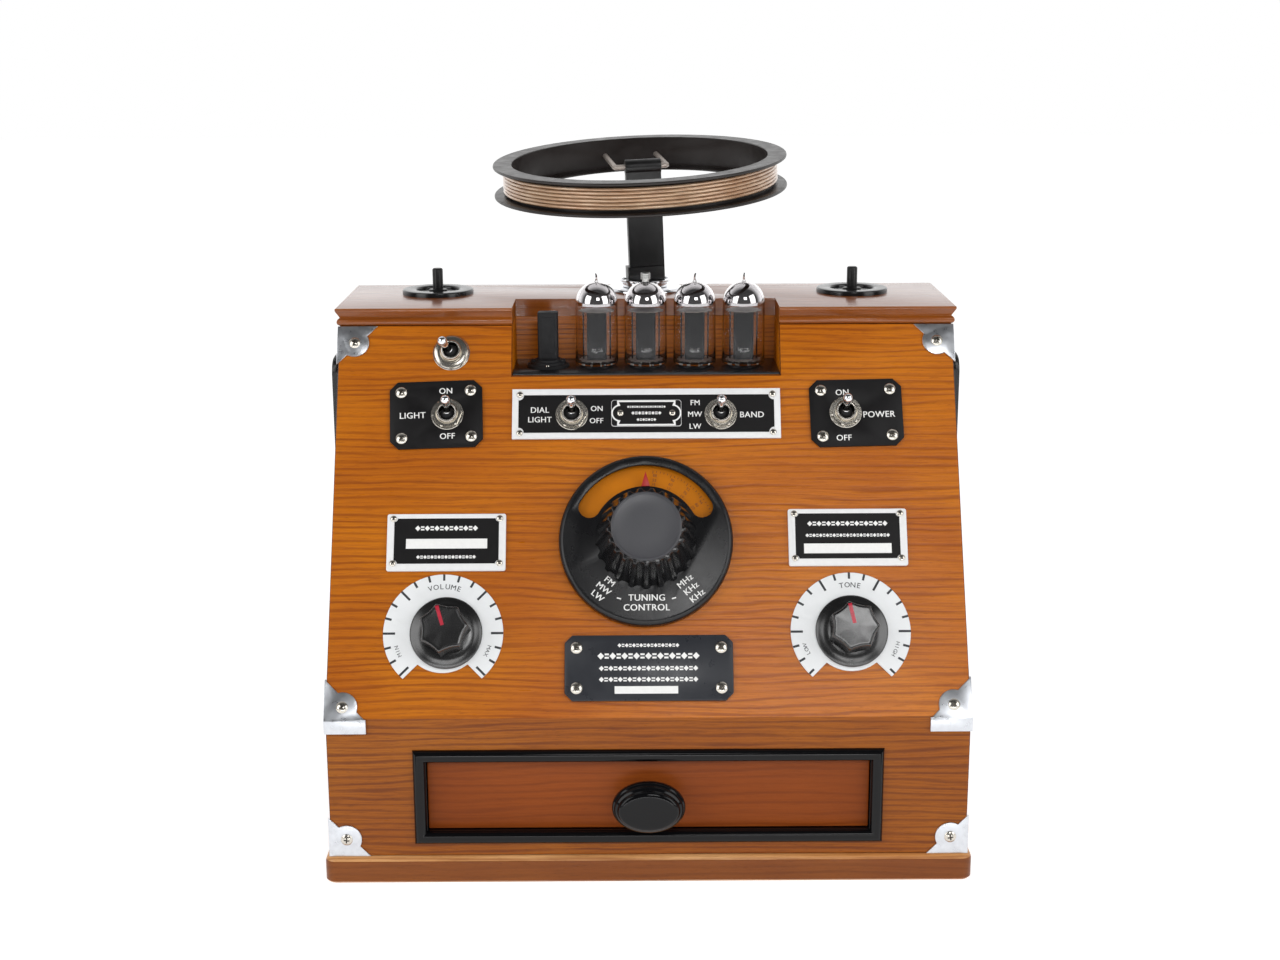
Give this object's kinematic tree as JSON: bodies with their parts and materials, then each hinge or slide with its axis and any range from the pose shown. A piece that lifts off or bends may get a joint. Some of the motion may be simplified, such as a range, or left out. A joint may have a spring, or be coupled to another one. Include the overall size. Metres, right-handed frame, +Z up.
{
  "type": "radio receiver",
  "caption": "Table radio with a sloped wooden front, tuning dial, volume and tone knobs, toggle switches, glass valves in a recess, a drawer, side speakers and a tilting loop aerial.",
  "frame": {"origin": "centre of the plinth's underside, on the surface that the radio stands on", "axes": "+X to the right as seen from the front, -Y out of the front, +Z up"},
  "size_m": [0.346, 0.2456, 0.3753],
  "materials": {
    "cabinet_wood": "orange-brown straight-grained wood under clear lacquer",
    "lid_wood": "lacquered wood with fine grain",
    "drawer_wood": "red-brown fine-grained veneer, satin",
    "plain_wood": "plain board, matt",
    "black_gloss": "black, glossy",
    "black_satin": "black, satin",
    "cap_grey": "dark grey, smooth satin",
    "valve_glass": "clear glass with a silvered dome",
    "electrode_metal": "carbon-black plates and mica discs",
    "chrome": "polished chrome",
    "steel": "plain steel",
    "scale_plate": "white-silver plate with black marks",
    "amber_scale": "amber scale with black marks",
    "red_cursor": "red",
    "wire": "copper strands in clear insulation",
    "cone_paper": "black paper cone in a steel basket",
    "board_green": "green circuit board"
  },
  "bodies": {
    "cabinet": {"left_side": "cabinet_wood", "right_side": "cabinet_wood", "sloped_panel": "cabinet_wood", "lower_panel": "cabinet_wood", "top_lid": "lid_wood", "plinth": "cabinet_wood", "back_panel": "plain_wood", "valve_recess": "cabinet_wood", "valve_shelf": "black_satin", "valve_1": "valve_glass", "valve_2": "valve_glass", "valve_3": "valve_glass", "valve_4": "valve_glass", "valve_electrodes": "electrode_metal", "crystal_can": "black_satin", "drawer_frame": "black_gloss", "drawer_runners": "plain_wood", "corner_guards": "chrome", "crease_guards": "chrome", "toggle_plates": "black_satin", "switch_plate": "black_satin", "screws": "chrome", "side_badges": "black_gloss", "lower_badge": "black_gloss", "control_plates": "scale_plate", "potentiometers": "steel", "dial_rim": "black_gloss", "dial_cursor": "red_cursor", "tuning_capacitor": "steel", "toggle_switches": "chrome", "toggle_nuts": "chrome", "terminal_flanges": "black_gloss", "terminal_pegs": "black_gloss", "aerial_base": "chrome", "speaker_grilles": "black_satin", "speakers": "cone_paper", "circuit_board": "board_green", "transformer": "steel", "power_inlet": "black_satin"},
    "drawer": {"drawer_front": "drawer_wood", "drawer_box": "plain_wood", "drawer_knob": "black_gloss"},
    "tuning": {"dial_scale": "amber_scale", "tuning_knob": "black_satin", "tuning_cap": "cap_grey", "tuning_spindle": "steel"},
    "volume": {"volume_knob": "black_satin", "volume_spindle": "steel"},
    "tone": {"tone_knob": "black_satin", "tone_spindle": "steel"},
    "power_switch": {"power_lever": "chrome"},
    "light_switch": {"light_lever": "chrome"},
    "dial_light_switch": {"dial_light_lever": "chrome"},
    "band_switch": {"band_lever": "chrome"},
    "spare_switch": {"spare_lever": "chrome"},
    "mast": {"aerial_turntable": "chrome", "aerial_mast": "black_satin"},
    "loop": {"loop_bail": "steel", "loop_former": "black_satin", "loop_winding": "wire"}
  },
  "joints": [
    {"name": "drawer_slide", "type": "slide", "parent": "cabinet", "child": "drawer", "axis": [0, -1, 0], "range_m": [0, 0.095]},
    {"name": "tuning_turn", "type": "hinge", "parent": "cabinet", "child": "tuning", "pos_m": [-0.00065, -0.05075, 0.17308], "axis": [0, -0.878, 0.4787], "range_deg": [-8, 157]},
    {"name": "volume_turn", "type": "hinge", "parent": "cabinet", "child": "volume", "pos_m": [-0.10555, -0.07415, 0.13016], "axis": [0, -0.878, 0.4787], "range_deg": [-150, 120]},
    {"name": "tone_turn", "type": "hinge", "parent": "cabinet", "child": "tone", "pos_m": [0.1068, -0.07415, 0.13016], "axis": [0, -0.878, 0.4787], "range_deg": [-147, 123]},
    {"name": "power_flip", "type": "hinge", "parent": "cabinet", "child": "power_switch", "pos_m": [0.1076, -0.01835, 0.23584], "axis": [1, 0, 0], "range_deg": [0, 36]},
    {"name": "light_flip", "type": "hinge", "parent": "cabinet", "child": "light_switch", "pos_m": [-0.1074, -0.01835, 0.23584], "axis": [1, 0, 0], "range_deg": [0, 36]},
    {"name": "dial_light_flip", "type": "hinge", "parent": "cabinet", "child": "dial_light_switch", "pos_m": [-0.0402, -0.01854, 0.23549], "axis": [1, 0, 0], "range_deg": [0, 36]},
    {"name": "band_flip", "type": "hinge", "parent": "cabinet", "child": "band_switch", "pos_m": [0.0402, -0.01854, 0.23549], "axis": [1, 0, 0], "range_deg": [0, 36]},
    {"name": "spare_flip", "type": "hinge", "parent": "cabinet", "child": "spare_switch", "pos_m": [-0.106, -0.00145, 0.26684], "axis": [0.4695, 0.4227, 0.7752], "range_deg": [0, 36]},
    {"name": "mast_turn", "type": "hinge", "parent": "cabinet", "child": "mast", "pos_m": [0, 0.0748, 0.2897], "axis": [0, 0, 1], "continuous": true},
    {"name": "loop_tilt", "type": "hinge", "parent": "mast", "child": "loop", "pos_m": [-0.00235, 0.0748, 0.36036], "axis": [0.9896, 0.1392, 0.0363], "range_deg": [-75, 15]}
  ]
}
